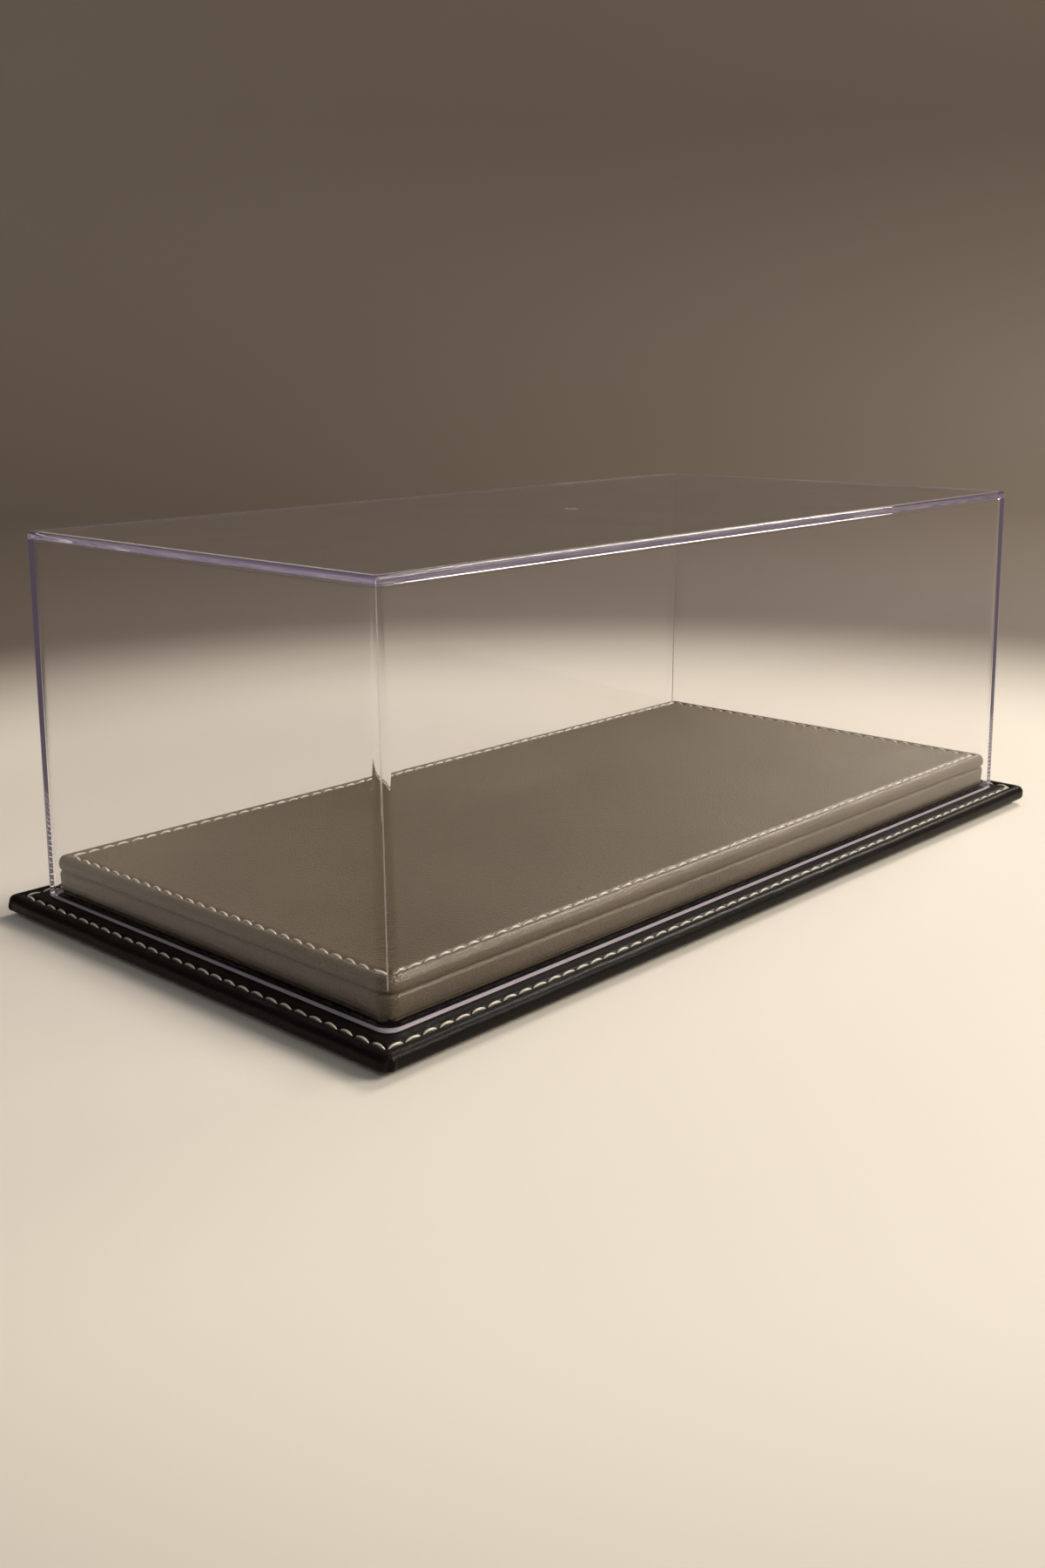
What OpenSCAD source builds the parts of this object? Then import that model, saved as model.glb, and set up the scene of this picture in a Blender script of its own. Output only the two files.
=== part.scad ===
// Display case: a one-piece moulded clear cover that lifts off a leatherette-covered base.
// The base is a wrapped board with a wrapped plinth block on it and a stitched pad on top.
// Millimetres. X runs along the case, Y across it, Z up. The origin is on the table, under the middle.

/* [Cover] */
// Outside length of the cover at its rim
cover_l = 330; // [240:1:420]
// Outside width of the cover at its rim
cover_w = 166; // [130:1:240]
// Height of the cover, rim to top
cover_h = 118; // [80:1:180]
// Thickness of the side walls
wall_t = 2.5; // [1.5:0.1:4]
// Thickness of the top
top_t = 2.5; // [1.5:0.1:4]
// Draft of the walls, in degrees, that lets the moulding leave its tool
draft = 1.25; // [0.5:0.05:2]
// Outside radius of the upright corners where they meet the top
corner_top_r = 1.8; // [1.4:0.1:4]
// Rounding of the outside edge of the top
top_edge_r = 1.2; // [0.5:0.1:1.4]
// Inside radius of the upright corners where they meet the top
inside_top_r = 1.2; // [0.8:0.1:3]
// Rounding of the inside edge of the top
inside_edge_r = 0.7; // [0.3:0.1:0.8]
// Rounding of the rim's outer edge
rim_edge_r = 0.5; // [0.2:0.1:1]
// Diameter of the ring-shaped gate mark in the middle of the top
gate_d = 5; // [3:0.5:10]
// Depth of the gate mark
gate_depth = 0.5; // [0.3:0.1:1]

/* [Base] */
// How far the base reaches past the cover on every side
base_reach = 9.5; // [8:0.5:20]
// Thickness of the wrapped base
base_t = 5; // [4.5:0.5:12]
// Upright corner radius of the base
base_corner_r = 3.6; // [3:0.2:8]
// Rounding of the base's upper edge
base_top_r = 2.2; // [1.5:0.1:2.4]
// Rounding of the base's lower edge
base_low_r = 1.6; // [1.2:0.1:2]
// Thickness of the leatherette on base, plinth and pad
skin = 1; // [0.8:0.1:1.1]
// Width of the leatherette that is turned under
hem = 14; // [10:1:20]

/* [Plinth and pad] */
// Clear space between the plinth and the inside of the cover's wall
plinth_clear = 2.2; // [0.6:0.1:4]
// Height of the wrapped plinth block
plinth_t = 9; // [6:0.5:20]
// Upright corner radius of plinth and pad
plinth_corner_r = 3.4; // [3:0.2:8]
// Rounding of the plinth's upper edge, where it meets the pad
plinth_top_r = 1.6; // [1.2:0.1:2]
// Rounding of the plinth's lower edge
plinth_low_r = 1.4; // [1.2:0.1:2]
// Thickness of the pad
pad_t = 4.6; // [4.2:0.1:8]
// Rounding of the pad's upper edge
pad_top_r = 2.4; // [1.8:0.1:2.6]
// Rounding of the pad's lower edge
pad_low_r = 1.5; // [1.2:0.1:1.6]
// Thickness of the board inside the pad
pad_board_t = 1.2; // [0.8:0.1:1.6]

/* [Stitching] */
// Distance of the base's seam from its outer edge
base_seam_in = 5; // [3.5:0.1:6.5]
// Length of one stitch and the space after it, on the base
base_pitch = 6; // [4:0.1:9]
// Distance of the pad's seam from its outer edge
pad_seam_in = 4; // [3.6:0.1:8]
// Length of one stitch and the space after it, on the pad
pad_pitch = 5.4; // [4:0.1:9]
// Space between two stitches
stitch_space = 1.3; // [0.8:0.1:2]
// Diameter of the thread
thread_d = 0.8; // [0.6:0.05:1]
// Depth that the seam pulls the leatherette down
seam_depth = 0.5; // [0.3:0.05:0.6]

/* [Feet and screws] */
// Height of the feet
foot_h = 2; // [1:0.5:6]
// Diameter of the feet
foot_d = 14; // [8:1:24]
// Distance of a foot's middle from the base's outer edges
foot_in = 26; // [24:1:50]
// Rounding of a foot's lower edge
foot_edge_r = 0.6; // [0.2:0.1:0.8]
// Diameter of a screw's shank
screw_d = 3; // [2:0.1:4]
// Diameter of a screw's countersunk head
head_d = 5.6; // [5:0.1:7]
// Depth that a screw goes into the plinth's board
screw_grip = 5; // [3:0.5:6]
// Distance of a screw from the plinth's end
screw_in_x = 40; // [30:1:70]
// Distance of a screw from the plinth's long side
screw_in_y = 34; // [28:1:50]

/* [Hidden] */
$fn = 48;

// Space left for glue between a skin and what it covers
bond = 0.05;
// Clear space between a thread and the bottom of its seam
thread_gap = 0.05;
// Clear space around a screw's shank in the boards
screw_gap = 0.1;
// Radius of the groove that a seam pulls into the leatherette
groove_r = 1;
// Clear space between the lining and the turned-under leatherette
lining_gap = 0.5;
// Length by which a cut passes the face that it starts from
past = 1;

base_z = foot_h;
deck_z = base_z + base_t;
pad_z = deck_z + plinth_t;
pad_top_z = pad_z + pad_t;
cover_top_z = deck_z + cover_h;

base_l = cover_l + 2 * base_reach;
base_w = cover_w + 2 * base_reach;
plinth_l = cover_l - 2 * (wall_t + plinth_clear);
plinth_w = cover_w - 2 * (wall_t + plinth_clear);
cavity_h = cover_h - top_t;
inlay = skin + bond;

// A length on a grid of two hundredths, so that the faces of neighbouring pieces meet exactly
function on_grid(length) = round(length * 50) / 50;

acrylic = [0.88, 0.86, 0.92, 0.35];
black_hide = [0.07, 0.055, 0.05];
grey_hide = [0.44, 0.40, 0.33];
cream_thread = [0.87, 0.83, 0.74];
fibreboard = [0.62, 0.48, 0.33];
foam_white = [0.92, 0.90, 0.84];
felt_black = [0.10, 0.10, 0.11];
rubber_black = [0.05, 0.05, 0.05];
zinc = [0.72, 0.72, 0.70];

// The outer part of a disc that rounds an edge, from a height below or at its centre up to its top
module rounding(r, from) {
    intersection() {
        circle(r);
        translate([0, from]) square([r, r - from]);
    }
}

// Half of an upright section, from an upright axis to a side that leans in towards the top,
// where it lies a distance out from the axis
module half_section(out, low, high, lean, top_r, low_r) {
    function centre(z, r) = [out + (high - z) * tan(lean) - r / cos(lean), z];
    top_c = centre(high - top_r, top_r);
    low_c = centre(low + low_r, low_r);
    side = [cos(lean), sin(lean)];
    polygon([
        [0, low], [low_c.x, low], low_c + low_r * side,
        top_c + top_r * side, [top_c.x, high], [0, high]
    ]);
    if (top_r > 0) translate(top_c) rounding(top_r, 0);
    if (low_r > 0) translate(low_c) rounding(low_r, -low_r);
}

// Two half sections with their axes a span apart, and what lies between them
module whole_section(span, low, high) {
    for (flip = [0, 1]) mirror([flip, 0]) translate([span / 2, 0]) children();
    translate([-span / 2, low]) square([span, high - low]);
}

// A block with round upright corners, given by its top: two crossed slabs, and a quarter turn at each corner
module swept_block(l, w, low, high, lean, corner_r, top_r, low_r) {
    span_x = on_grid(l - 2 * corner_r);
    span_y = on_grid(w - 2 * corner_r);
    module edge() half_section(corner_r, low, high, lean, top_r, low_r);
    rotate([90, 0, 0]) linear_extrude(span_y, center = true) whole_section(span_x, low, high) edge();
    rotate([90, 0, 90]) linear_extrude(span_x, center = true) whole_section(span_y, low, high) edge();
    for (turn = [0 : 3]) {
        x = turn == 0 || turn == 3 ? 1 : -1;
        y = turn < 2 ? 1 : -1;
        translate([x * span_x / 2, y * span_y / 2, 0]) rotate([0, 0, 90 * turn])
            rotate_extrude(angle = 90) edge();
    }
}

// A round-cornered slab with upright sides, sunk in all round by a depth
module slab(l, w, low, high, corner_r, top_r, low_r, sunk) {
    swept_block(l - 2 * sunk, w - 2 * sunk, low + sunk, high - sunk, 0,
        corner_r - sunk, top_r - sunk, low_r - sunk);
}

// Four copies, at the same distances from the middle in X and in Y
module at_corners(x, y) {
    for (sx = [-1, 1], sy = [-1, 1]) translate([sx * x, sy * y, 0]) children();
}

// The grooves that a seam along four sides pulls into a top face
module seam_grooves(l, w, inset, top_z) {
    z = top_z - seam_depth + groove_r;
    for (side = [-1, 1]) {
        translate([0, side * (w / 2 - inset), z]) rotate([0, 90, 0])
            cylinder(r = groove_r, h = l - 2 * inset, center = true);
        translate([side * (l / 2 - inset), 0, z]) rotate([90, 0, 0])
            cylinder(r = groove_r, h = w - 2 * inset, center = true);
    }
}

// One straight row of stitches along X, with its middle at the origin
module stitch_row(run, pitch) {
    count = floor(run / pitch);
    for (i = [0 : count - 1])
        translate([(i - (count - 1) / 2) * pitch, 0, 0]) rotate([0, 90, 0])
            cylinder(d = thread_d, h = pitch - stitch_space, center = true, $fn = 8);
}

// The row of stitches on one side of a top face: 0 front, 1 right, 2 back, 3 left
module seam(l, w, inset, top_z, pitch, side) {
    along_x = side % 2 == 0;
    run = (along_x ? l : w) - 2 * inset - pitch / 2;
    out = (along_x ? w : l) / 2 - inset;
    z = top_z - seam_depth + thread_gap + thread_d / 2;
    color(cream_thread) rotate([0, 0, side * 90]) translate([0, -out, z]) stitch_row(run, pitch);
}

module base_seam(side) {
    seam(base_l, base_w, base_seam_in, deck_z, base_pitch, side);
}

module pad_seam(side) {
    seam(plinth_l, plinth_w, pad_seam_in, pad_top_z, pad_pitch, side);
}

// The clear moulded cover: outer form less the space inside it, with the gate mark on top
module cover() {
    outer_lean = cover_h * tan(draft);
    inner_lean = cavity_h * tan(draft);
    color(acrylic) difference() {
        swept_block(cover_l - 2 * outer_lean, cover_w - 2 * outer_lean, deck_z, cover_top_z,
            draft, corner_top_r, top_edge_r, rim_edge_r);
        swept_block(cover_l - 2 * (wall_t + inner_lean), cover_w - 2 * (wall_t + inner_lean),
            deck_z - past, deck_z + cavity_h, draft, inside_top_r, inside_edge_r, 0);
        translate([0, 0, cover_top_z - gate_depth]) rotate_extrude()
            translate([gate_d / 4, 0]) square([gate_d / 4, gate_depth + past]);
    }
}

// Outer form of the base, sunk in by a depth
module base_form(sunk) {
    slab(base_l, base_w, base_z, deck_z, base_corner_r, base_top_r, base_low_r, sunk);
}

// Outer form of the plinth block, sunk in by a depth
module plinth_form(sunk) {
    slab(plinth_l, plinth_w, deck_z, pad_z, plinth_corner_r, plinth_top_r, plinth_low_r, sunk);
}

// Outer form of the pad, sunk in by a depth
module pad_form(sunk) {
    slab(plinth_l, plinth_w, pad_z, pad_top_z, plinth_corner_r, pad_top_r, pad_low_r, sunk);
}

// The window that a turned-under hem leaves open in a skin
module hem_window(l, w, z) {
    translate([0, 0, z]) cube([l - 2 * hem, w - 2 * hem, 2 * skin], center = true);
}

// Places of the four screws
module at_screws() {
    at_corners(plinth_l / 2 - screw_in_x, plinth_w / 2 - screw_in_y) children();
}

// One countersunk screw from the board's underside up into the plinth, widened by a gap
module screw_form(gap) {
    z = base_z + inlay;
    head_h = (head_d - screw_d) / 2;
    tip_z = deck_z + inlay + screw_grip;
    rotate_extrude() polygon([
        [0, z], [head_d / 2 + gap, z], [screw_d / 2 + gap, z + head_h],
        [screw_d / 2 + gap, tip_z + gap], [0, tip_z + gap]
    ]);
}

module base_board() {
    color(fibreboard) difference() {
        base_form(inlay);
        at_screws() screw_form(screw_gap);
    }
}

module base_wrap() {
    color(black_hide) difference() {
        base_form(0);
        base_form(skin);
        hem_window(base_l, base_w, base_z);
        seam_grooves(base_l, base_w, base_seam_in, deck_z);
        at_screws() screw_form(screw_gap);
    }
}

module bottom_lining() {
    inset = hem + lining_gap;
    color(felt_black) translate([-base_l / 2 + inset, -base_w / 2 + inset, base_z])
        cube([base_l - 2 * inset, base_w - 2 * inset, skin]);
}

module plinth_board() {
    color(fibreboard) difference() {
        plinth_form(inlay);
        at_screws() screw_form(screw_gap);
    }
}

module plinth_wrap() {
    color(grey_hide) difference() {
        plinth_form(0);
        plinth_form(skin);
        hem_window(plinth_l, plinth_w, deck_z);
        hem_window(plinth_l, plinth_w, pad_z);
    }
}

module plinth_screws() {
    color(zinc) at_screws() screw_form(0);
}

// The part of the pad's filling between two heights
module pad_filling(low, high) {
    intersection() {
        pad_form(inlay);
        translate([-plinth_l / 2, -plinth_w / 2, low]) cube([plinth_l, plinth_w, high - low]);
    }
}

module pad_board() {
    low = pad_z + inlay;
    color(fibreboard) pad_filling(low - past, low + pad_board_t);
}

module pad_foam() {
    color(foam_white) pad_filling(pad_z + inlay + pad_board_t + bond, pad_top_z);
}

module pad_cover() {
    color(grey_hide) difference() {
        pad_form(0);
        pad_form(skin);
        hem_window(plinth_l, plinth_w, pad_z);
        seam_grooves(plinth_l, plinth_w, pad_seam_in, pad_top_z);
    }
}

module foot(sx, sy) {
    x = base_l / 2 - foot_in;
    y = base_w / 2 - foot_in;
    color(rubber_black) translate([sx * x, sy * y, 0])
        rotate_extrude() half_section(foot_d / 2, 0, foot_h, 0, 0, foot_edge_r);
}

cover();
base_board();
base_wrap();
bottom_lining();
base_seam(0);  // base_seam_front
base_seam(1);  // base_seam_right
base_seam(2);  // base_seam_back
base_seam(3);  // base_seam_left
plinth_board();
plinth_wrap();
plinth_screws();
pad_board();
pad_foam();
pad_cover();
pad_seam(0);  // pad_seam_front
pad_seam(1);  // pad_seam_right
pad_seam(2);  // pad_seam_back
pad_seam(3);  // pad_seam_left
foot(-1, -1);  // foot_front_left
foot(1, -1);  // foot_front_right
foot(-1, 1);  // foot_back_left
foot(1, 1);  // foot_back_right
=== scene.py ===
import math
import random

import bmesh
import bpy
import numpy as np
from mathutils import Matrix, Vector


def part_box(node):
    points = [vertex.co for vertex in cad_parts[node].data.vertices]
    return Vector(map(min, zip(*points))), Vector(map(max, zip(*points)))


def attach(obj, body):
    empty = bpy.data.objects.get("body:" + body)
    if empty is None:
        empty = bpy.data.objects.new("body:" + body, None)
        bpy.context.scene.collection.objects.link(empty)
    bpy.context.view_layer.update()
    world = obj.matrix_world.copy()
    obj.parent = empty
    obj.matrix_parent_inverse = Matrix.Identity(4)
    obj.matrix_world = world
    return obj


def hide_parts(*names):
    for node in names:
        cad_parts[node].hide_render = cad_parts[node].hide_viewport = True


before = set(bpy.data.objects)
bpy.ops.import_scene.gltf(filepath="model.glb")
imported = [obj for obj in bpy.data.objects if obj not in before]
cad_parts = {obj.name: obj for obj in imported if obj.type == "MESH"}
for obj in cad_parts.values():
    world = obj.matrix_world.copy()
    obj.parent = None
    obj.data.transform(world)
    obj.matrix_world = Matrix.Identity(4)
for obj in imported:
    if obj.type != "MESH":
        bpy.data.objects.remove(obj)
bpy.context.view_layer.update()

# The pieces' lengths are in millimetres, and become metres when a mesh is made
MM = 0.001

# Sizes that the CAD boxes don't give, as in the part's source
WALL_T = 2.5
TOP_T = 2.5
DRAFT = math.radians(1.25)
COVER_CORNER_R = 1.8
COVER_INNER_R = 1.2
COVER_TOP_R = 1.2
COVER_CEILING_R = 0.7
RIM_R = 0.5
GATE_D = 5.0
GATE_DEPTH = 0.5
SKIN = 1.0
HEM = 14.0
BASE_CORNER_R = 3.6
BASE_TOP_R = 2.2
BASE_LOW_R = 1.6
PLINTH_CORNER_R = 3.4
PLINTH_TOP_R = 1.6
PLINTH_LOW_R = 1.4
PAD_TOP_R = 2.4
PAD_LOW_R = 1.5
BASE_SEAM_IN = 5.0
BASE_PITCH = 6.0
PAD_SEAM_IN = 4.0
PAD_PITCH = 5.4
SEAM_DEPTH = 0.5
THREAD_D = 0.8
STITCH_GAP = 1.3

# How far a stitch arches up, and how far below the top face it starts
STITCH_RISE = 0.95
STITCH_SINK = 1.05
# The first side's seed for its stitches; the others follow it
SEAM_SEED = 40

# How far the soft leatherette of plinth and pad stands proud of its solid
PROUD = 0.9
# How far the plinth's leatherette is drawn in at its foot, and the height of that taper
TUCK = 1.4
TUCK_H = 5.5
# Height of the painted shade round the plinth's foot, where black leatherette stands in for the shadow
# under it
FOOT_SHADE_H = 2.2
# Height of the pad's crown
CROWN = 0.45
# How far the rolled edges of base and pad rise above the top face
EDGE_ROLL = 0.22
# Free height between the deck's leatherette and what stands on it, so that no two faces coincide
DECK_SINK = 0.05

# How far in from the edge the loops over a top face run: close together at the seams
BASE_TOP_LOOPS = (
    2.6, 3.0, 3.4, 3.8, 4.1, 4.4, 4.7, 5.0, 5.3, 5.6, 5.9, 6.3, 6.8, 7.5, 8.5, 10, 12, 14, 20, 40, 70)
PAD_TOP_LOOPS = (
    2.6, 2.9, 3.2, 3.5, 3.8, 4.1, 4.4, 4.7, 5.0, 5.4, 5.9, 6.6, 7.6, 9, 11.5, 15, 20, 27, 36, 47, 60, 72)
PLINTH_TOP_LOOPS = (3, 6, HEM)
# A skin's inner face ends this far from the middle line
MIDDLE_GAP = 2

# Height of the satin band round the cover's rim: a dull rim whose light colour is partly a painted
# highlight, standing in for light piped down the walls
RIM_SATIN_AND_HIGHLIGHT_H = 0.7
# Width of the painted highlight on the cover's upright corners, a light dull line standing in for the
# light that the rounded corners catch, and the heights where it gets thinner and ends
CORNER_HIGHLIGHT_W = 0.6
CORNER_HIGHLIGHT_THIN = 63
CORNER_HIGHLIGHT_LOW = 18
# How far the cover's top and ceiling ripple
RIPPLE = 0.022
# The cover's loops: distances in from the edge of its top, and down from the end of its rounding
COVER_TOP_LOOPS = (1.5, 2.2, 4, 7, 12, 20, 33, 50, 66, 74)
COVER_WALL_LOOPS = (0.6, 1.5, 4, 12, 30, 60, 90, 105, 112)

# The tightest corner that a loop keeps as it moves inwards
LEAST_R = 0.3
# Points closer than this are one point
SAME_POINT = 0.002
# Faces that meet at more than this angle have a sharp edge between them
SHARP = math.radians(40)

SIDES = ("front", "right", "back", "left")
# Corners of a rectangle, in walking order: each side ends at the corner of its number
CORNERS = np.array([(1, -1), (1, 1), (-1, 1), (-1, -1)], float)


# Loops and meshes


def box_mm(node):
    """Lowest and highest corner of a CAD node, in millimetres."""
    low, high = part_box(node)
    return np.array(low) / MM, np.array(high) / MM


def make_stations(half, gap, corner_steps):
    """Places round a rectangle: the two corners each lies between, how far along, and the way it faces."""
    rows = []
    for side in range(4):
        before = (side - 1) % 4
        facing = math.radians(90 * side - 90)
        steps = max(1, round(2 * half[side % 2] / gap))
        rows += [(before, side, i / steps, facing) for i in range(steps)]
        rows += [(side, side, 0, facing + math.pi / 2 * j / corner_steps) for j in range(corner_steps)]
    return np.array(rows)


def loop(stations, half, corner_r, inset, z):
    """Points of one rounded rectangle, an inset in from two half sizes; its corners get tighter with it."""
    r = max(corner_r - inset, LEAST_R)
    reach = np.array(half) - inset - r
    before = CORNERS[stations[:, 0].astype(int)]
    after = CORNERS[stations[:, 1].astype(int)]
    along = stations[:, 2:3]
    facing = np.column_stack([np.cos(stations[:, 3]), np.sin(stations[:, 3])])
    flat = (before * (1 - along) + after * along) * reach + r * facing
    return np.column_stack([flat, np.full(len(flat), z)])


def stack(stations, half, corner_r, profile):
    """Loops for a profile of insets and heights."""
    return np.array([loop(stations, half, corner_r, inset, z) for inset, z in profile])


def arc(centre, r, start, end, steps):
    """Points of a profile's rounding, from one angle to another, in degrees."""
    turns = [math.radians(start + (end - start) * i / steps) for i in range(steps + 1)]
    return [(centre[0] + r * math.cos(t), centre[1] + r * math.sin(t)) for t in turns]


def mesh_object(name, points, faces):
    """A smooth object with sharp creases only where faces meet steeply."""
    mesh = bpy.data.meshes.new(name)
    mesh.from_pydata((np.asarray(points) * MM).tolist(), [], faces)
    mesh.polygons.foreach_set("use_smooth", [True] * len(mesh.polygons))
    mesh.set_sharp_from_angle(angle=SHARP)
    piece = bpy.data.objects.new(name, mesh)
    bpy.context.scene.collection.objects.link(piece)
    return piece


def skin_object(name, loops, ring=False):
    """A closed skin from loops: the end loops are filled, or in a ring joined to each other."""
    count, around = loops.shape[:2]
    faces = []
    for i in range(count if ring else count - 1):
        low = i * around
        high = (i + 1) % count * around
        for j in range(around):
            k = (j + 1) % around
            faces.append((low + j, high + j, high + k, low + k))
    if not ring:
        faces.append(tuple(range(around)))
        faces.append(tuple(reversed(range((count - 1) * around, count * around))))
    return mesh_object(name, loops.reshape(-1, 3), faces)


def bell(distance, width):
    """1 at no distance, falling smoothly to 0."""
    return np.exp(-(distance / width) ** 2)


def ease(value):
    """0 below 0 and 1 above 1, with a smooth rise between."""
    value = np.clip(value, 0, 1)
    return value * value * (3 - 2 * value)


def ramp(value, start, length):
    """0 up to a start, and 1 from a length further on, with a smooth rise between."""
    return ease((value - start) / length)


def fade(value, length):
    """1 up to zero, and 0 from a length on, with a smooth fall between."""
    return ease(1 - value / length)


def sway(points, wave, seed):
    """A slow uneven swell over a surface, between about -1 and 1, with waves of about a length."""
    waves, usual_peak = 5, 3
    slowest, fastest = 0.6, 1.5
    climb, latest_start = 0.7, 6
    x, y, z = (points[..., i] * 2 * math.pi / wave for i in range(3))
    draw = random.Random(seed)
    total = 0
    for _ in range(waves):
        turn = draw.uniform(0, 2 * math.pi)
        pace = draw.uniform(slowest, fastest)
        run = x * math.cos(turn) + y * math.sin(turn) + climb * z
        total = total + np.sin(pace * run + latest_start * draw.random())
    return total / usual_peak


def outward(points, half, corner_r):
    """The way that a rounded rectangle's side faces, at points on or near it."""
    least = 1e-6
    flat = points[..., :2]
    reach = np.array(half) - corner_r
    rest = flat - np.clip(flat, -reach, reach)
    size = np.linalg.norm(rest, axis=-1, keepdims=True)
    return rest / np.maximum(size, least)


def depth_in(points, half):
    """How far in from the nearest side of a rectangle points lie."""
    return (half - np.abs(points[..., :2])).min(axis=-1)


# Seams


def stitch_count(half, inset, pitch, side):
    """Stitches in one straight row, as in the part's source."""
    return math.floor((2 * half[side % 2] - 2 * inset - pitch / 2) / pitch)


def row_pitch(half, inset, pitch, side):
    """The pitch drawn out a little, so that a row's stitches run from corner to corner."""
    return 2 * (half[side % 2] - inset) / stitch_count(half, inset, pitch, side)


def seam_dip(points, half, inset, pitch):
    """How far the seams pull a top face down: a channel, deepest at the needle holes."""
    end_fade, hole_length = 1.2, 0.95
    channel_width, channel_depth, extra_at_hole = 1.0, 0.55, 0.25
    prick_width, prick_depth = 0.55, 0.3
    # A dip of this number is as deep as the source's seams
    source_depth = 0.6
    depth = 0
    for axis in (0, 1):
        along = points[..., axis]
        across = half[1 - axis] - np.abs(points[..., 1 - axis])
        past_end = np.abs(along) - (half[axis] - inset)
        row = fade(past_end, end_fade)
        step = row_pitch(half, inset, pitch, axis)
        phase = along / step + stitch_count(half, inset, pitch, axis) / 2
        hole = bell((phase - np.round(phase)) * step, hole_length)
        channel = bell(across - inset, channel_width) * (channel_depth + extra_at_hole * hole)
        prick = bell(across - inset, prick_width) * hole * prick_depth
        depth = np.maximum(depth, row * (channel + prick))
    return depth * SEAM_DEPTH / source_depth


def stitch_points(length, rise, slant, twist):
    """Rings of one stitch along X: a twisted thread that arches from one needle hole to the next."""
    rings, sides, plies = 16, 12, 3
    end_size, swell, fullness = 0.5, 0.34, 0.7
    uneven, uneven_from = 0.07, 0.6
    ply_depth, wide, tall = 0.09, 1.1, 0.95
    points = []
    for i in range(rings + 1):
        way = math.pi * i / rings
        arch = math.sin(way)
        size = end_size + swell * arch ** fullness - uneven * math.cos(way + uneven_from) * arch
        r = THREAD_D / 2 * size
        x = -math.cos(way) * length / 2
        y = slant * math.cos(way) / 2
        z = rise * arch
        tilt = math.atan2(rise * math.cos(way), arch * length / 2)
        for j in range(sides):
            a = 2 * math.pi * j / sides
            ply = r * (1 + ply_depth * math.cos(plies * (a - twist - way)))
            across = wide * ply * math.cos(a)
            above = tall * ply * math.sin(a)
            points.append((x - above * math.sin(tilt), y + across, z + above * math.cos(tilt)))
    return np.array(points), rings, sides


def seam_object(name, half, inset, top_z, pitch, side, seed):
    """One row of stitches on a side of a top face, no two of them quite the same."""
    longer, higher, off_row = 0.15, 0.06, 0.06
    least_slant, most_slant, most_twist = 0.15, 0.5, 6
    draw = random.Random(seed)
    count = stitch_count(half, inset, pitch, side)
    step = row_pitch(half, inset, pitch, side)
    out = half[1 - side % 2] - inset
    turn = math.radians(90 * side)
    spin = np.array([[math.cos(turn), -math.sin(turn)], [math.sin(turn), math.cos(turn)]])
    points, faces = [], []
    for i in range(count):
        length = step - STITCH_GAP + draw.uniform(-longer, longer)
        rise = STITCH_RISE * draw.uniform(1 - higher, 1 + higher)
        slant = draw.uniform(least_slant, most_slant)
        twist = most_twist * draw.random()
        rings, ring_count, sides = stitch_points(length, rise, slant, twist)
        first = len(points) * len(rings)
        along = (i - (count - 1) / 2) * step
        across = -out + draw.uniform(-off_row, off_row)
        rings = rings + np.array((along, across, top_z - STITCH_SINK))
        rings[:, :2] = rings[:, :2] @ spin.T
        points.append(rings)
        for a in range(ring_count):
            low = first + a * sides
            high = first + (a + 1) * sides
            for b in range(sides):
                c = (b + 1) % sides
                faces.append((low + b, low + c, high + c, high + b))
        faces.append(tuple(first + b for b in reversed(range(sides))))
        faces.append(tuple(first + ring_count * sides + b for b in range(sides)))
    return mesh_object(name, np.concatenate(points), faces)


# Pieces


def shell_profile(low, high, top_r, low_r, insets, inner_end):
    """A skin's whole profile: over the top, round the side, under the hem, and back inside it."""
    top_steps, low_steps, inner_steps = 9, 7, 3
    past_round, past_inner_round, least_inner_r = 2, 1, 0.1
    inner_top_r = max(top_r - SKIN, least_inner_r)
    inner_low_r = max(low_r - SKIN, least_inner_r)
    outer = [(inset, high) for inset in reversed(insets)]
    outer += arc((top_r, high - top_r), top_r, 90, 180, top_steps)
    outer += [(0, (high - top_r + low + low_r) / 2)]
    outer += arc((low_r, low + low_r), low_r, 180, 270, low_steps)
    outer += [(low_r + past_round, low), (HEM, low)]
    inner = [(HEM, low + SKIN), (low_r + past_inner_round, low + SKIN)]
    inner += arc((low_r, low + low_r), inner_low_r, 270, 180, inner_steps)
    inner += arc((top_r, high - top_r), inner_top_r, 180, 90, inner_steps)
    inner += [(inner_end, high - SKIN)]
    return outer, inner


def corner_crease(points, half, corner_r, low, high, turn, depth):
    """How far a fold at each corner draws the side in, at an angle off the corner's middle."""
    lean_rate, upright_at, fold_reach = 0.35, 0.3, 0.42
    fold_width = 0.16
    ridge_off, ridge_width, ridge_share = 0.42, 0.3, 0.45
    least_turned = 0.02
    face = outward(points, half, corner_r)
    angle = np.arctan2(np.abs(face[..., 1]), np.abs(face[..., 0]))
    swing = np.sign(points[..., 0] * points[..., 1])
    off = (angle - math.pi / 4) * swing - turn
    height = (points[..., 2] - low) / (high - low)
    lean = off - lean_rate * (height - upright_at)
    near = ease(2 - np.abs(points[..., 2] - low) / (fold_reach * (high - low)))
    at_corner = (np.abs(face).min(axis=-1) > least_turned)
    fold = bell(lean, fold_width) - ridge_share * bell(lean - ridge_off, ridge_width)
    return depth * fold * near * at_corner


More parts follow.
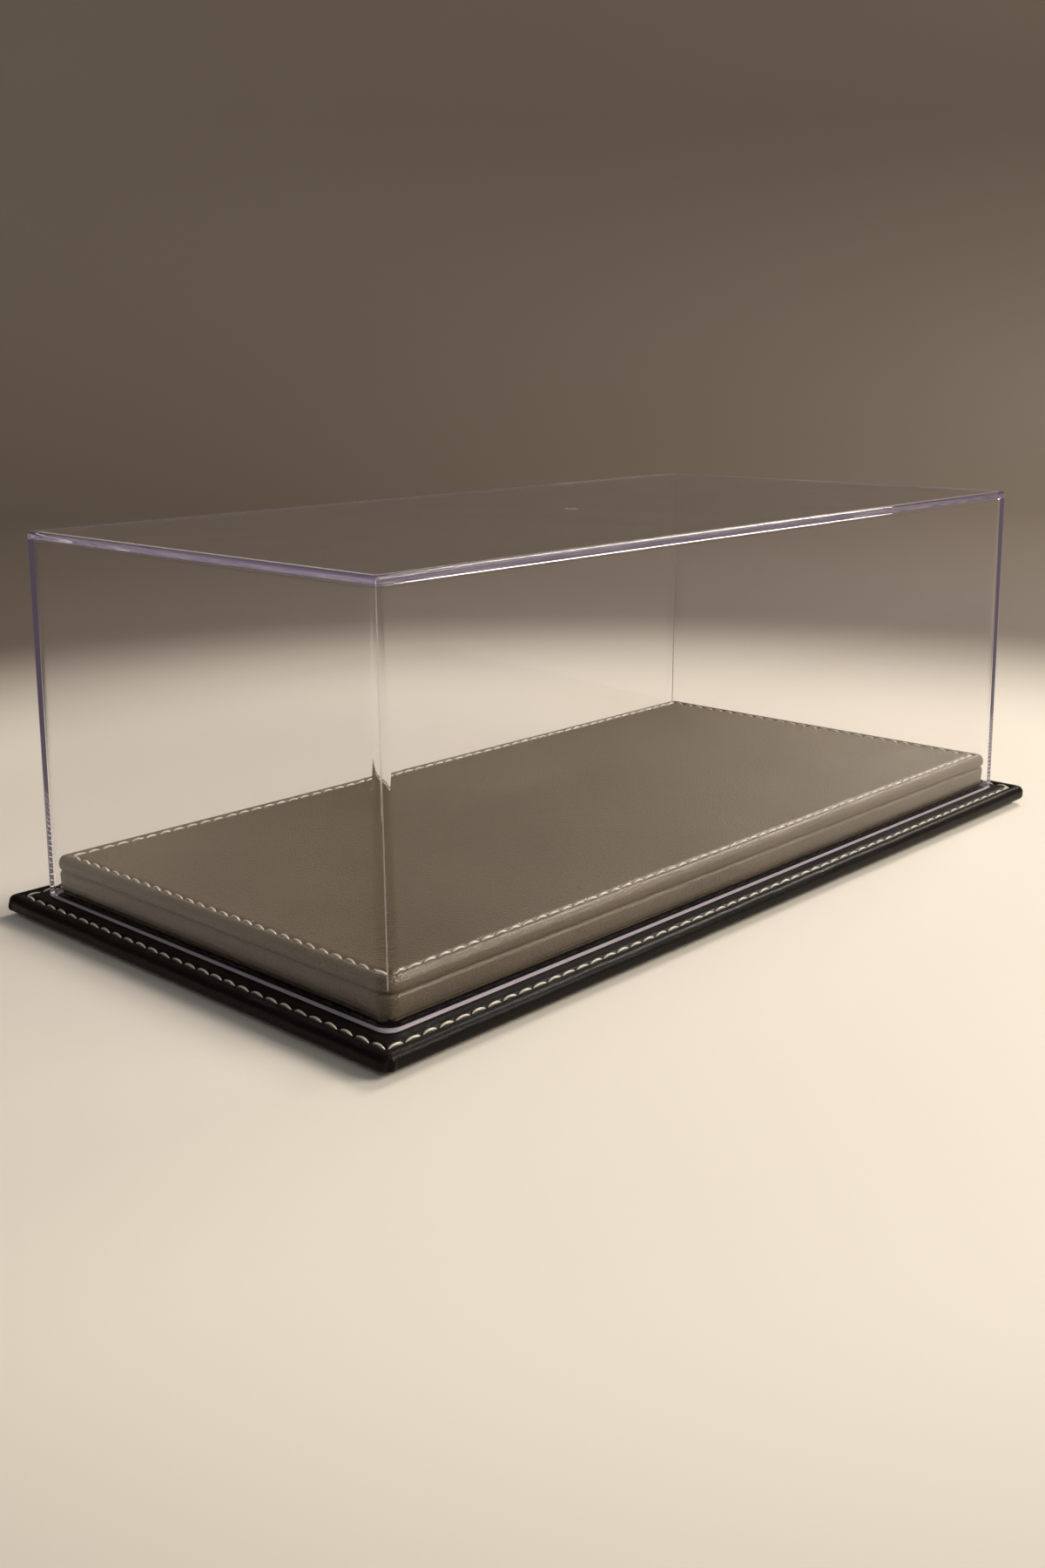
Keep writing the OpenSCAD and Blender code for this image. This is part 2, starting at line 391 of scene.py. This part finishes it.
def make_base_skin():
    """The base's black leatherette: seams, a rolled edge, a fold at each corner and a slight swell."""
    roll_in, roll_width = 2.7, 1.5
    pull, big_swell, small_swell = 0.08, 0.09, 0.05
    edge_wave, wave_in, wave_width = 0.05, 2.5, 2
    low, high = box_mm("base_wrap")
    half = high[:2]
    stations = make_stations(half, gap=0.8, corner_steps=14)
    outer, inner = shell_profile(
        low[2], high[2], BASE_TOP_R, BASE_LOW_R, BASE_TOP_LOOPS, half[1] - MIDDLE_GAP)
    loops = stack(stations, half, BASE_CORNER_R, outer)
    heights = loops[..., 2].copy()
    face = outward(loops, half, BASE_CORNER_R)
    edge_in = depth_in(loops, half)
    on_top = ramp(heights - low[2], start=2.2, length=2)
    loops[..., 2] -= seam_dip(loops, half, BASE_SEAM_IN, BASE_PITCH) * on_top
    loops[..., 2] += EDGE_ROLL * bell(edge_in - roll_in, roll_width) * on_top
    loops[..., 2] -= DECK_SINK * on_top * ramp(edge_in, start=6, length=2)
    on_side = fade(edge_in, length=2.5) * ramp(heights - low[2], start=0, length=0.6)
    crease = corner_crease(loops, half, BASE_CORNER_R, low[2], high[2], turn=0.12, depth=0.9)
    swell = big_swell * sway(loops, wave=34, seed=3) + small_swell * sway(loops, wave=9, seed=4)
    loops[..., :2] += face * ((swell - pull) * on_side - crease * on_side)[..., None]
    loops[..., 2] += edge_wave * sway(loops, wave=23, seed=5) * on_top * bell(edge_in - wave_in, wave_width)
    loops = np.concatenate([loops, stack(stations, half, BASE_CORNER_R, inner)])
    return skin_object("base_leatherette", loops)


def make_plinth_skin():
    """The plinth's grey leatherette: a shallow fold at each corner, and its foot drawn in."""
    pull, slow_swell = 0.12, 0.03
    low, high = box_mm("plinth_wrap")
    half = high[:2] + PROUD
    stations = make_stations(half, gap=2.0, corner_steps=12)
    outer, inner = shell_profile(low[2], high[2], PLINTH_TOP_R, PLINTH_LOW_R, PLINTH_TOP_LOOPS, HEM)
    # Without the two ends of its straight stretch, the side bellies very slightly
    side_ends = (low[2] + PLINTH_LOW_R, high[2] - PLINTH_TOP_R)
    outer = [row for row in outer if row[0] > 0 or row[1] not in side_ends]
    middle = [inset for inset, _ in outer].index(0)
    # A loop at the top of the painted shade at the foot, so that its edge runs straight
    outer.insert(middle + 1, (0, low[2] + FOOT_SHADE_H))
    loops = stack(stations, half, PLINTH_CORNER_R, outer)
    face = outward(loops, half, PLINTH_CORNER_R)
    on_side = fade(depth_in(loops, half), length=2)
    crease = corner_crease(loops, half, PLINTH_CORNER_R, low[2], high[2], turn=-0.2, depth=0.35)
    swell = slow_swell * sway(loops, wave=60, seed=7)
    tuck = TUCK * np.clip(1 - (loops[..., 2] - low[2]) / TUCK_H, 0, 1)
    loops[..., :2] += face * ((swell - pull - tuck) * on_side - crease * on_side)[..., None]
    loops = np.concatenate([loops, stack(stations, half, PLINTH_CORNER_R, inner)])
    return skin_object("plinth_leatherette", loops, ring=True)


def paint_plinth_foot_shade(piece):
    """Picks the faces round the plinth's foot that get black as painted shade, standing in for the shadow
    there.
    """
    foot_shade_top_z = box_mm("plinth_wrap")[0][2] + FOOT_SHADE_H
    for polygon in piece.data.polygons:
        if polygon.center.z < foot_shade_top_z * MM:
            polygon.material_index = 1


def make_pad():
    """The padded panel: seams, a rolled edge, a crown, sides drawn in between fuller corners."""
    roll_in, roll_width = 2.0, 1.3
    top_wave, slow_swell = 0.05, 0.03
    pull, most_drawn_in, draw_reach, corner_swell = 0.1, 0.15, 12, 0.2
    low, high = box_mm("pad_cover")
    half = high[:2] + PROUD
    stations = make_stations(half, gap=0.8, corner_steps=14)
    outer, inner = shell_profile(
        low[2], high[2], PAD_TOP_R, PAD_LOW_R, PAD_TOP_LOOPS, half[1] - MIDDLE_GAP)
    loops = stack(stations, half, PLINTH_CORNER_R, outer)
    heights = loops[..., 2].copy()
    face = outward(loops, half, PLINTH_CORNER_R)
    edge_in = depth_in(loops, half)
    on_top = ramp(heights - low[2], start=1.8, length=2)
    loops[..., 2] -= seam_dip(loops, half, PAD_SEAM_IN, PAD_PITCH) * on_top
    loops[..., 2] += EDGE_ROLL * bell(edge_in - roll_in, roll_width) * on_top
    crown = CROWN * ramp(edge_in, start=5, length=45)
    unrest = top_wave * sway(loops, wave=60, seed=11) * ramp(edge_in, start=6, length=10)
    loops[..., 2] += (crown + unrest) * on_top
    on_side = fade(edge_in, length=2.5)
    between = 1 - (np.abs(loops[..., :2]) / half) ** 2
    draw_in = most_drawn_in * between.min(axis=-1) * (edge_in < draw_reach)
    at_corner = ramp(np.abs(face).min(axis=-1), start=0.1, length=0.5)
    swell = slow_swell * sway(loops, wave=60, seed=12) + corner_swell * at_corner
    loops[..., :2] += face * ((swell - pull) * on_side - draw_in * on_side)[..., None]
    loops = np.concatenate([loops, stack(stations, half, PLINTH_CORNER_R, inner)])
    return skin_object("pad_cushion", loops)


def cover_loops(stations, top_half, corner_r, top_z, points):
    """Loops of one face of the drafted cover, given by its top: insets at the top, and heights."""
    lean = math.tan(DRAFT)
    rows = []
    for inset, z in points:
        spread = (top_z - z) * lean
        rows.append(loop(stations, top_half + spread, corner_r + spread, inset, z))
    return rows


def make_cover():
    """The clear cover, one drafted shell with round edges; also the heights of its rim and top."""
    top_steps, ceiling_steps, rim_steps = 10, 6, 5
    above_rim, level = 0.3, 0.01
    ripple_end, ripple_fall = 78, 16
    low, high = box_mm("cover")
    rim_z, top_z = low[2], high[2]
    half = high[:2]
    lean = math.tan(DRAFT)
    stations = make_stations(half, gap=4.0, corner_steps=16)
    ceiling_z = top_z - TOP_T
    outer_half = half - (top_z - rim_z) * lean
    inner_half = half - WALL_T - (ceiling_z - rim_z) * lean
    outer = [(inset, top_z) for inset in reversed(COVER_TOP_LOOPS)]
    outer += arc((COVER_TOP_R, top_z - COVER_TOP_R), COVER_TOP_R, 90, 180, top_steps)
    outer += [(0, top_z - COVER_TOP_R - down) for down in COVER_WALL_LOOPS]
    outer += [(0, rim_z + RIM_R + above_rim)]
    outer += arc((RIM_R, rim_z + RIM_R), RIM_R, 180, 270, rim_steps)
    inner = [(0, rim_z), (0, rim_z + RIM_SATIN_AND_HIGHLIGHT_H)]
    inner += [(0, ceiling_z - COVER_CEILING_R - down) for down in reversed(COVER_WALL_LOOPS)]
    inner += arc((COVER_CEILING_R, ceiling_z - COVER_CEILING_R), COVER_CEILING_R, 180, 90, ceiling_steps)
    inner += [(inset, ceiling_z) for inset in COVER_TOP_LOOPS]
    loops = np.array(
        cover_loops(stations, outer_half, COVER_CORNER_R, top_z, outer)
        + cover_loops(stations, inner_half, COVER_INNER_R, ceiling_z, inner))
    edge_in = depth_in(loops, half)
    flat = (loops[..., 2] > ceiling_z - level) * ramp(edge_in, start=6, length=14)
    flat = flat * ease((ripple_end - edge_in) / ripple_fall)
    loops[..., 2] += RIPPLE * sway(loops, wave=34, seed=21) * flat
    piece = skin_object("clear_cover", loops)
    return piece, rim_z, top_z


def cut_gate_mark(piece, top_z):
    """The ring that the moulding gate leaves in the middle of the top."""
    steps, above = 48, 1
    inner_r, outer_r = GATE_D / 4, GATE_D / 2
    section = [(inner_r, -GATE_DEPTH), (outer_r, -GATE_DEPTH), (outer_r, above), (inner_r, above)]
    points, faces = [], []
    for i in range(steps):
        a = 2 * math.pi * i / steps
        n = (i + 1) % steps
        points += [(r * math.cos(a), r * math.sin(a), top_z + z) for r, z in section]
        for j in range(4):
            k = (j + 1) % 4
            faces.append((4 * i + j, 4 * n + j, 4 * n + k, 4 * i + k))
    cutter = mesh_object("gate_cutter", points, faces)
    cut = piece.modifiers.new("gate", "BOOLEAN")
    cut.operation = "DIFFERENCE"
    cut.solver = "EXACT"
    cut.object = cutter
    graph = bpy.context.evaluated_depsgraph_get()
    mesh = bpy.data.meshes.new_from_object(piece.evaluated_get(graph))
    piece.modifiers.clear()
    piece.data = mesh
    clean = bmesh.new()
    clean.from_mesh(mesh)
    bmesh.ops.remove_doubles(clean, verts=clean.verts, dist=SAME_POINT * MM)
    bmesh.ops.dissolve_degenerate(clean, edges=clean.edges, dist=SAME_POINT * MM)
    clean.to_mesh(mesh)
    clean.free()
    mesh.set_sharp_from_angle(angle=SHARP)
    bpy.data.objects.remove(cutter)


def pick_rim_and_highlight_faces(piece, rim_z):
    """Picks the faces of the cover's satin rim, whose light colour is partly painted highlight, and of the
    painted highlight lines on its upright corners.
    """
    most_lean = 0.1
    widest = CORNER_HIGHLIGHT_W / COVER_CORNER_R / 2
    for polygon in piece.data.polygons:
        face = polygon.normal
        z = polygon.center.z / MM
        upright = abs(face.z) < most_lean and face.dot(polygon.center) > 0
        off_corner = abs(face.x) - abs(face.y)
        far_side = widest if z > CORNER_HIGHLIGHT_THIN else 0
        # Rim band: satin, its light colour partly painted highlight; upright corners: painted highlight
        if z < rim_z + RIM_SATIN_AND_HIGHLIGHT_H:
            polygon.material_index = 1
        elif upright and z > CORNER_HIGHLIGHT_LOW and -widest < off_corner < far_side:
            polygon.material_index = 2


# Materials

# A noise node's values lie mostly in this range
NOISE_RANGE = (0.3, 0.7)
ACRYLIC_IOR = 1.49


class Paint:
    """A material with a Principled shader and short ways to add nodes; scales are per metre."""

    def __init__(self, name):
        self.material = bpy.data.materials.new(name)
        self.material.use_nodes = True
        self.tree = self.material.node_tree
        self.shader = self.tree.nodes["Principled BSDF"]
        self.output = self.tree.nodes["Material Output"]
        self.place = self.add("ShaderNodeTexCoord").outputs["Object"]

    def add(self, kind, **values):
        """A new node with some of its settings."""
        node = self.tree.nodes.new(kind)
        for key, value in values.items():
            setattr(node, key, value)
        return node

    def link(self, start, end):
        """Joins an output to an input."""
        self.tree.links.new(start, end)

    def set(self, **values):
        """Constants on the shader's own sockets, with underscores for the spaces in their names."""
        for key, value in values.items():
            self.shader.inputs[key.replace("_", " ")].default_value = value

    def noise(self, scale, detail=3.0, rough=0.5, stretch=None):
        """Cloudy values."""
        node = self.add("ShaderNodeTexNoise")
        node.inputs["Scale"].default_value = scale
        node.inputs["Detail"].default_value = detail
        node.inputs["Roughness"].default_value = rough
        self.link(self.stretched(stretch), node.inputs["Vector"])
        return node.outputs["Fac"]

    def stretched(self, stretch):
        """The place on the piece, scaled by axis if asked."""
        if stretch is None:
            return self.place
        node = self.add("ShaderNodeMapping")
        node.inputs["Scale"].default_value = stretch
        self.link(self.place, node.inputs["Vector"])
        return node.outputs["Vector"]

    def cells(self, scale, feature):
        """Distances in a pattern of cells."""
        node = self.add("ShaderNodeTexVoronoi", feature=feature)
        node.inputs["Scale"].default_value = scale
        self.link(self.place, node.inputs["Vector"])
        return node.outputs["Distance"]

    def spread(self, value, low, high, to_low=0, to_high=1):
        """A value moved from one range to another."""
        node = self.add("ShaderNodeMapRange")
        node.inputs["From Min"].default_value = low
        node.inputs["From Max"].default_value = high
        node.inputs["To Min"].default_value = to_low
        node.inputs["To Max"].default_value = to_high
        self.link(value, node.inputs["Value"])
        return node.outputs["Result"]

    def blend(self, value, first, second):
        """A colour between two others."""
        node = self.add("ShaderNodeMix", data_type="RGBA")
        node.inputs["A"].default_value = (*first, 1)
        node.inputs["B"].default_value = (*second, 1)
        self.link(value, node.inputs["Factor"])
        return node.outputs["Result"]

    def mean(self, first, second, share):
        """A mean of two values, with the second one's share."""
        node = self.add("ShaderNodeMix", data_type="FLOAT")
        node.inputs["Factor"].default_value = share
        self.link(first, node.inputs["A"])
        self.link(second, node.inputs["B"])
        return node.outputs["Result"]

    def bump(self, height, depth_mm, strength=1.0):
        """Fine relief."""
        node = self.add("ShaderNodeBump")
        node.inputs["Distance"].default_value = depth_mm * MM
        node.inputs["Strength"].default_value = strength
        self.link(height, node.inputs["Height"])
        self.link(node.outputs["Normal"], self.shader.inputs["Normal"])

    def colour(self, value, dark, light):
        """The surface's colour, between two others."""
        self.link(self.blend(value, dark, light), self.shader.inputs["Base Color"])

    def roughness(self, value, least, most):
        """The surface's roughness, between two values, by a noise."""
        self.link(self.spread(value, *NOISE_RANGE, least, most), self.shader.inputs["Roughness"])


def leatherette(name, dark, light, rough, gloss, depth_mm):
    """Coated cloth with a fine pebbled grain, uneven in tone and gloss."""
    rough_range = 0.07
    paint = Paint(name)
    pebbles = paint.cells(scale=1900, feature="SMOOTH_F1")
    creases = paint.cells(scale=950, feature="DISTANCE_TO_EDGE")
    fine = paint.noise(scale=5200)
    tone = paint.noise(scale=22, detail=5, rough=0.6)
    raised = paint.spread(pebbles, 0, 0.75, 1, 0)
    flat = paint.spread(creases, 0, 0.2)
    grain = paint.mean(raised, flat, share=0.22)
    paint.bump(paint.mean(grain, fine, share=0.2), depth_mm)
    mottle = paint.mean(tone, grain, share=0.5)
    paint.colour(paint.spread(mottle, 0.3, 0.75), dark, light)
    paint.roughness(paint.mean(tone, fine, share=0.5), rough - rough_range, rough + rough_range)
    paint.set(Specular_IOR_Level=gloss)
    return paint.material


def thread_paint():
    """Cream sewing thread with a slight sheen."""
    paint = Paint("cream_thread")
    fibre = paint.noise(scale=2600, detail=6, rough=0.7)
    tone = paint.noise(scale=160)
    paint.colour(
        paint.mean(fibre, tone, share=0.4), dark=(0.36, 0.32, 0.235), light=(0.72, 0.665, 0.53))
    paint.bump(fibre, depth_mm=0.05, strength=0.7)
    paint.roughness(fibre, least=0.26, most=0.4)
    paint.set(Sheen_Weight=0.15, Sheen_Roughness=0.4, Specular_IOR_Level=0.6)
    return paint.material


def fibreboard_paint():
    """Raw board of pressed wood fibres."""
    paint = Paint("raw_fibreboard")
    fibre = paint.noise(scale=900, detail=8, rough=0.75)
    paint.colour(fibre, dark=(0.30, 0.19, 0.10), light=(0.50, 0.36, 0.21))
    paint.bump(fibre, depth_mm=0.08)
    paint.roughness(fibre, least=0.78, most=0.92)
    return paint.material


def felt_paint():
    """Black felt with a short pile."""
    paint = Paint("black_felt")
    pile = paint.noise(scale=1500, detail=8, rough=0.8)
    tufts = paint.noise(scale=260, detail=4, rough=0.6)
    paint.colour(
        paint.mean(pile, tufts, share=0.4), dark=(0.012, 0.012, 0.013), light=(0.05, 0.05, 0.053))
    paint.bump(pile, depth_mm=0.25)
    paint.roughness(pile, least=0.88, most=1.0)
    paint.set(Sheen_Weight=0.5, Sheen_Roughness=0.5)
    return paint.material


def rubber_paint():
    """Matt black rubber."""
    paint = Paint("matt_rubber")
    grit = paint.noise(scale=1100, detail=5, rough=0.6)
    paint.colour(grit, dark=(0.012, 0.012, 0.012), light=(0.03, 0.03, 0.03))
    paint.bump(grit, depth_mm=0.04)
    paint.roughness(grit, least=0.62, most=0.82)
    return paint.material


def zinc_paint():
    """Zinc-plated steel, turned on a lathe."""
    paint = Paint("zinc_plate")
    turned = paint.noise(scale=700, detail=4, rough=0.6, stretch=(1, 1, 9))
    paint.colour(turned, dark=(0.55, 0.54, 0.50), light=(0.74, 0.74, 0.72))
    paint.bump(turned, depth_mm=0.02)
    paint.roughness(turned, least=0.28, most=0.45)
    paint.set(Metallic=1.0)
    return paint.material


def acrylic_paint():
    """Polished clear plastic, lilac through its depth.

    Shadow rays and the light of dull surfaces go straight through it."""
    paint = Paint("clear_acrylic")
    flow = paint.noise(scale=26, detail=2)
    paint.bump(flow, depth_mm=0.05, strength=0.35)
    paint.set(Base_Color=(0.985, 0.98, 0.99, 1), Transmission_Weight=1.0, IOR=ACRYLIC_IOR, Roughness=0.0)
    paint.set(Specular_Tint=(0.25, 0.25, 0.27, 1))
    path = paint.add("ShaderNodeLightPath")
    open_way = paint.add("ShaderNodeBsdfTransparent")
    open_way.inputs["Color"].default_value = (0.95, 0.945, 0.955, 1)
    surface = paint.shader.outputs[0]
    for ray in ("Is Shadow Ray", "Is Diffuse Ray"):
        pick = paint.add("ShaderNodeMixShader")
        paint.link(path.outputs[ray], pick.inputs[0])
        paint.link(surface, pick.inputs[1])
        paint.link(open_way.outputs[0], pick.inputs[2])
        surface = pick.outputs[0]
    paint.link(surface, paint.output.inputs["Surface"])
    tint = paint.add("ShaderNodeVolumeAbsorption")
    tint.inputs["Color"].default_value = (0.55, 0.47, 0.62, 1)
    tint.inputs["Density"].default_value = 5.0
    haze = paint.add("ShaderNodeVolumeScatter")
    haze.inputs["Color"].default_value = (0.76, 0.64, 1.0, 1)
    haze.inputs["Density"].default_value = 2.2
    both = paint.add("ShaderNodeAddShader")
    paint.link(tint.outputs[0], both.inputs[0])
    paint.link(haze.outputs[0], both.inputs[1])
    paint.link(both.outputs[0], paint.output.inputs["Volume"])
    return paint.material


def satin_paint(name, dark, light, clear):
    """Light, dull acrylic that lets only a share of the light through: the rim's satin band, partly a
    painted highlight, and the painted highlight lines on the upright corners.
    """
    paint = Paint(name)
    grit = paint.noise(scale=2400)
    paint.colour(grit, dark, light)
    paint.bump(grit, depth_mm=0.004)
    paint.roughness(grit, least=0.12, most=0.25)
    paint.set(Transmission_Weight=clear, IOR=ACRYLIC_IOR)
    return paint.material


# The stage, light and camera

# Distances from the middle, in metres, between which the floor goes from pale to dark: a painted pool of
# light
FLOOR_LIGHT_POOL = (0.28, 0.58)
# How far below the feet the floor lies, so that no two faces coincide
FLOOR_DROP = 0.02
# Light goes round many times inside the cover's edges before it comes out
EDGE_BOUNCES = 40
WARM = (1.0, 0.93, 0.84)
COOL = (0.92, 0.96, 1.0)


def floor_paint():
    """Pale round the object and darker further out, a painted pool of light, so that clear edges show
    against it.
    """
    paint = Paint("floor_painted_light_pool")
    tone = paint.noise(scale=3)
    middle = paint.add("ShaderNodeVectorMath", operation="LENGTH")
    paint.link(paint.place, middle.inputs[0])
    far = paint.spread(middle.outputs["Value"], *FLOOR_LIGHT_POOL)
    far.node.interpolation_type = "SMOOTHSTEP"
    # Painted pool of light: pale near the middle, dark further out
    paint.colour(far, (0.77, 0.71, 0.61), (0.13, 0.102, 0.077))
    paint.roughness(tone, least=0.6, most=0.7)
    return paint.material


def make_stage():
    """A round floor that sweeps up into a wall all round."""
    flat, sweep, wall = 1400, 500, 1500
    flat_rings, sweep_rings, first_turn, steps = 4, 14, 0.1, 96
    profile = [(flat * i / flat_rings, 0) for i in range(1, flat_rings + 1)]
    for turn in np.linspace(first_turn, math.pi / 2, sweep_rings):
        profile.append((flat + sweep * math.sin(turn), sweep - sweep * math.cos(turn)))
    profile.append((flat + sweep, wall))
    points = [(0, 0, 0)]
    for r, z in profile:
        points += [(r * math.cos(a), r * math.sin(a), z) for a in np.linspace(0, 2 * math.pi, steps, False)]
    faces = [(0, 1 + j, 1 + (j + 1) % steps) for j in range(steps)]
    for i in range(len(profile) - 1):
        low = 1 + i * steps
        high = 1 + (i + 1) * steps
        for j in range(steps):
            k = (j + 1) % steps
            faces.append((low + j, high + j, high + k, low + k))
    floor = mesh_object("studio_floor", points, faces)
    floor.location.z = -FLOOR_DROP * MM
    floor.data.materials.append(floor_paint())


def area_light(name, place, target, size, power, colour):
    """A rectangular lamp, in metres and watts, turned to a target."""
    data = bpy.data.lights.new(name, "AREA")
    data.shape = "RECTANGLE"
    data.size, data.size_y = size
    data.energy = power
    data.color = colour
    lamp = bpy.data.objects.new(name, data)
    lamp.location = place
    lamp.rotation_mode = "QUATERNION"
    lamp.rotation_quaternion = (Vector(target) - Vector(place)).to_track_quat("-Z", "Y")
    bpy.context.scene.collection.objects.link(lamp)
    return lamp


def make_light():
    """A warm key from the right, two fills and a dim cool room."""
    area_light("key", (1.6, 0.1, 1.45), target=(0, 0, 0.03), size=(0.75, 0.75), power=28, colour=WARM)
    area_light("front_fill", (0.8, -1.6, 1.0), target=(0, 0, 0.05), size=(1.3, 0.8), power=60, colour=WARM)
    left = area_light(
        "left_fill", (-1.3, -0.9, 1.1), target=(0, 0, 0.05), size=(1.0, 1.0), power=7, colour=COOL)
    left.visible_glossy = False
    world = bpy.data.worlds.new("soft_room")
    bpy.context.scene.world = world
    world.use_nodes = True
    back = world.node_tree.nodes["Background"]
    back.inputs["Color"].default_value = (0.76, 0.81, 0.9, 1)
    back.inputs["Strength"].default_value = 0.15


def make_camera():
    """The photograph's view, in metres, from a camera fitted to the cover's edges."""
    place = (-0.41435, -0.36443, 0.17534)
    azimuth = math.radians(-46.873)
    elevation = math.radians(15.116)
    roll = math.radians(-0.320)
    # Focal length and height of the photograph in its pixels, and the sensor in millimetres
    focus, frame_height, sensor = 1810.35, 1800, 36
    level = math.cos(elevation)
    back = Vector((math.sin(azimuth) * level, -math.cos(azimuth) * level, math.sin(elevation)))
    right = (-back).cross(Vector((0, 0, 1))).normalized()
    up = right.cross(-back)
    side = math.cos(roll) * right + math.sin(roll) * up
    top = math.cos(roll) * up - math.sin(roll) * right
    data = bpy.data.cameras.new("photo_view")
    data.sensor_width = sensor
    data.lens = sensor * focus / frame_height
    data.clip_start = 0.01
    data.clip_end = 20
    camera = bpy.data.objects.new("photo_view", data)
    turn = Matrix((side, top, back)).transposed()
    camera.matrix_world = Matrix.Translation(place) @ turn.to_4x4()
    bpy.context.scene.collection.objects.link(camera)
    bpy.context.scene.camera = camera


def set_light_paths():
    """Plain colours, many bounces, and no caustics."""
    bpy.context.scene.view_settings.view_transform = "Standard"
    paths = bpy.context.scene.cycles
    paths.max_bounces = EDGE_BOUNCES
    paths.glossy_bounces = EDGE_BOUNCES
    paths.transmission_bounces = EDGE_BOUNCES
    paths.caustics_refractive = False
    paths.caustics_reflective = False


# Putting it together


def dress(piece, body, slot, nodes, *materials):
    """Gives a piece its body, materials and the CAD nodes that it stands for; the slot is not used."""
    for material in materials:
        piece.data.materials.append(material)
    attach(piece, body)
    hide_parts(*nodes)
    return piece


def repaint(node, material):
    """A CAD node that stays gets a better material."""
    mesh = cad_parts[node].data
    mesh.materials.clear()
    mesh.materials.append(material)


set_light_paths()
make_camera()
make_stage()
make_light()

black = leatherette(
    "black_leatherette", dark=(0.0028, 0.0018, 0.0014), light=(0.008, 0.0058, 0.0045),
    rough=0.32, gloss=0.08, depth_mm=0.08)
grey = leatherette(
    "grey_leatherette", dark=(0.062, 0.0443, 0.0222), light=(0.118, 0.0845, 0.043),
    rough=0.34, gloss=0.24, depth_mm=0.17)
thread = thread_paint()

dress(make_base_skin(), "base", "black_leatherette", ["base_wrap"], black)
# The plinth's second material, black, is painted shade round its foot
plinth = dress(make_plinth_skin(), "base", "grey_leatherette", ["plinth_wrap"], grey, black)
paint_plinth_foot_shade(plinth)
pad = dress(make_pad(), "base", "grey_leatherette", ["pad_cover", "pad_foam"], grey)

for number, side_name in enumerate(SIDES):
    for part, node, proud, inset, pitch in (
            ("base", "base_wrap", 0, BASE_SEAM_IN, BASE_PITCH),
            ("pad", "pad_cover", PROUD, PAD_SEAM_IN, PAD_PITCH)):
        reach = box_mm(node)[1]
        half = reach[:2] + proud
        seed = SEAM_SEED + number
        row = seam_object(f"{part}_stitches_{side_name}", half, inset, reach[2], pitch, number, seed)
        dress(row, "base", "thread", [f"{part}_seam_{side_name}"], thread)

cover, cover_rim_z, cover_top_z = make_cover()
cut_gate_mark(cover, cover_top_z)
# Satin rim band, its light colour partly a painted highlight standing in for light piped down the walls
rim = satin_paint("satin_rim_and_highlight", dark=(0.50, 0.45, 0.48), light=(0.66, 0.60, 0.64), clear=0.3)
# Painted highlight: a light dull line down the cover's upright corners
corner_highlight_paint = satin_paint("painted_corner_highlight", dark=(0.80, 0.77, 0.80), light=(0.94, 0.92, 0.94), clear=0.76)
dress(cover, "cover", "acrylic", ["cover"], acrylic_paint(), rim, corner_highlight_paint)
pick_rim_and_highlight_faces(cover, cover_rim_z)

board = fibreboard_paint()
for node in ("base_board", "plinth_board", "pad_board"):
    repaint(node, board)
repaint("bottom_lining", felt_paint())
repaint("plinth_screws", zinc_paint())
rubber = rubber_paint()
for node in ("foot_front_left", "foot_front_right", "foot_back_left", "foot_back_right"):
    repaint(node, rubber)
